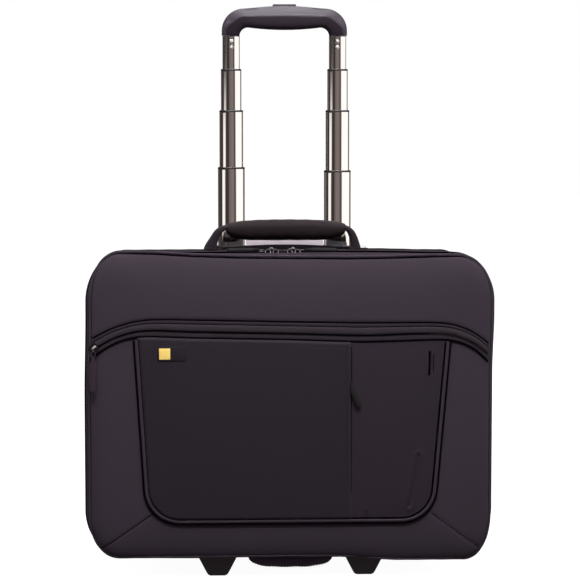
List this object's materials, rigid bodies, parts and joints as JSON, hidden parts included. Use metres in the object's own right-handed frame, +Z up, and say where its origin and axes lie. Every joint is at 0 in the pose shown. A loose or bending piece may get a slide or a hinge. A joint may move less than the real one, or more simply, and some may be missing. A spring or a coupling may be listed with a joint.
{
  "type": "rolling laptop case",
  "caption": "Soft-sided rolling laptop case on rear wheels, with a staged pull handle, top carry handle, opening front section and zipped front pocket.",
  "frame": {"origin": "on the floor under the middle of the case's bounding box", "axes": "+Z up along the pull handle, +Y from the front pocket towards the wheels at the back, +X to the right seen from the front"},
  "size_m": [0.463, 0.2345, 0.6565],
  "materials": {
    "twill": "ballistic twill weave",
    "smooth_fabric": "fine plain weave",
    "webbing": "woven tape",
    "lining": "brushed lining",
    "zip_tape": "coil zip tape",
    "zip_metal": "plated",
    "tube_metal": "polished",
    "steel": "satin",
    "brace_metal": "satin",
    "black_plastic": "fine grain",
    "soft_grip": "matt",
    "tyre": "matt",
    "hub": "moulded",
    "label": "woven"
  },
  "bodies": {
    "case": {"rear_gusset": "twill", "back_panel": "twill", "tube_cover_panel": "lining", "laptop_sleeve": "lining", "bottom_panel": "twill", "rear_zip_tape": "zip_tape", "fixed_tube_left": "tube_metal", "fixed_tube_right": "tube_metal", "handle_bezel": "black_plastic", "tube_brace": "brace_metal", "wheel_base": "black_plastic", "wheel_axle_left": "steel", "wheel_axle_right": "steel", "front_foot_left": "black_plastic", "front_foot_right": "black_plastic", "bottom_grab_handle": "webbing", "carry_strap": "webbing", "carry_pad": "smooth_fabric", "handle_anchor_left": "webbing", "handle_anchor_right": "webbing"},
    "lid": {"front_gusset": "twill", "front_zip_tape": "zip_tape", "front_panel": "twill", "pocket_zip_flap": "zip_tape", "pocket_panel_left": "smooth_fabric", "pocket_panel_right": "smooth_fabric", "blank_label": "label"},
    "main_slider_left": {"main_slider_left": "zip_metal"},
    "main_slider_right": {"main_slider_right": "zip_metal"},
    "main_pull_left": {"main_pull_left": "webbing"},
    "main_pull_right": {"main_pull_right": "webbing"},
    "pocket_slider": {"pocket_slider": "zip_metal"},
    "pocket_pull": {"pocket_pull": "webbing"},
    "side_slider": {"side_slider": "zip_metal"},
    "side_pull": {"side_pull": "webbing"},
    "stage_4": {"stage_4_tube_left": "tube_metal", "stage_4_tube_right": "tube_metal"},
    "stage_3": {"stage_3_tube_left": "tube_metal", "stage_3_tube_right": "tube_metal"},
    "stage_2": {"stage_2_tube_left": "tube_metal", "stage_2_tube_right": "tube_metal"},
    "handle": {"stage_1_tube_left": "tube_metal", "stage_1_tube_right": "tube_metal", "lock_block_left": "black_plastic", "lock_block_right": "black_plastic", "grip_shell": "black_plastic", "grip_pad": "soft_grip", "grip_rivet_left_1": "steel", "grip_rivet_left_2": "steel", "grip_rivet_right_1": "steel", "grip_rivet_right_2": "steel"},
    "button": {"release_button": "black_plastic", "push_rod_left": "steel", "push_rod_right": "steel"},
    "lock_pin_left": {"lock_pin_left": "steel"},
    "lock_pin_right": {"lock_pin_right": "steel"},
    "wheel_left": {"wheel_tyre_left": "tyre", "wheel_hub_left": "hub"},
    "wheel_right": {"wheel_tyre_right": "tyre", "wheel_hub_right": "hub"}
  },
  "joints": [
    {"name": "stage_4_slide", "type": "slide", "parent": "case", "child": "stage_4", "axis": [0, 0, 1], "range_m": [-0.086, 0.06]},
    {"name": "stage_3_slide", "type": "slide", "parent": "stage_4", "child": "stage_3", "axis": [0, 0, 1], "range_m": [-0.064, 0.087]},
    {"name": "stage_2_slide", "type": "slide", "parent": "stage_3", "child": "stage_2", "axis": [0, 0, 1], "range_m": [-0.045, 0.106]},
    {"name": "stage_1_slide", "type": "slide", "parent": "stage_2", "child": "handle", "axis": [0, 0, 1], "range_m": [-0.023, 0.114]},
    {"name": "release_button_press", "type": "slide", "parent": "handle", "child": "button", "axis": [0, 0, 1], "range_m": [-0.004, 0], "stiffness_N_per_m": 600, "springref_m": 0.0008},
    {"name": "lock_pin_left_slide", "type": "slide", "parent": "handle", "child": "lock_pin_left", "axis": [1, 0, 0], "range_m": [0, 0.0024]},
    {"name": "lock_pin_right_slide", "type": "slide", "parent": "handle", "child": "lock_pin_right", "axis": [-1, 0, 0], "range_m": [0, 0.0024]},
    {"name": "wheel_left_spin", "type": "hinge", "parent": "case", "child": "wheel_left", "pos_m": [-0.165, 0.086, 0.03], "axis": [1, 0, 0], "continuous": true},
    {"name": "wheel_right_spin", "type": "hinge", "parent": "case", "child": "wheel_right", "pos_m": [0.165, 0.086, 0.03], "axis": [1, 0, 0], "continuous": true},
    {"name": "lid_hinge", "type": "hinge", "parent": "case", "child": "lid", "pos_m": [0, -0.1035, 0.0265], "axis": [1, 0, 0], "range_deg": [0, 85]},
    {"name": "main_slider_left_travel", "type": "slide", "parent": "case", "child": "main_slider_left", "axis": [-1, 0, 0], "range_m": [0, 0.15]},
    {"name": "main_slider_right_travel", "type": "slide", "parent": "case", "child": "main_slider_right", "axis": [1, 0, 0], "range_m": [0, 0.15]},
    {"name": "main_pull_left_flip", "type": "hinge", "parent": "main_slider_left", "child": "main_pull_left", "pos_m": [-0.0295, -0.063, 0.3731], "axis": [0, 1, 0], "range_deg": [0, 100]},
    {"name": "main_pull_right_flip", "type": "hinge", "parent": "main_slider_right", "child": "main_pull_right", "pos_m": [0.0125, -0.063, 0.3731], "axis": [0, -1, 0], "range_deg": [0, 100]},
    {"name": "pocket_slider_travel", "type": "hinge", "parent": "lid", "child": "pocket_slider", "pos_m": [-0.156, -0.1115, 0.186], "axis": [0, 1, 0], "range_deg": [0, 42]},
    {"name": "pocket_pull_swing", "type": "hinge", "parent": "pocket_slider", "child": "pocket_pull", "pos_m": [-0.2219, -0.1161, 0.2557], "axis": [0, 1, 0], "range_deg": [-42, 20]},
    {"name": "side_slider_travel", "type": "slide", "parent": "lid", "child": "side_slider", "axis": [0, 0, -1], "range_m": [0, 0.12]},
    {"name": "side_pull_swing", "type": "hinge", "parent": "side_slider", "child": "side_pull", "pos_m": [0.064, -0.1113, 0.2225], "axis": [0, 1, 0], "range_deg": [-10, 24]}
  ],
  "couplings": [
    {"joint": "lock_pin_left_slide", "follows": "release_button_press", "ratio": -0.6},
    {"joint": "lock_pin_right_slide", "follows": "release_button_press", "ratio": -0.6}
  ]
}
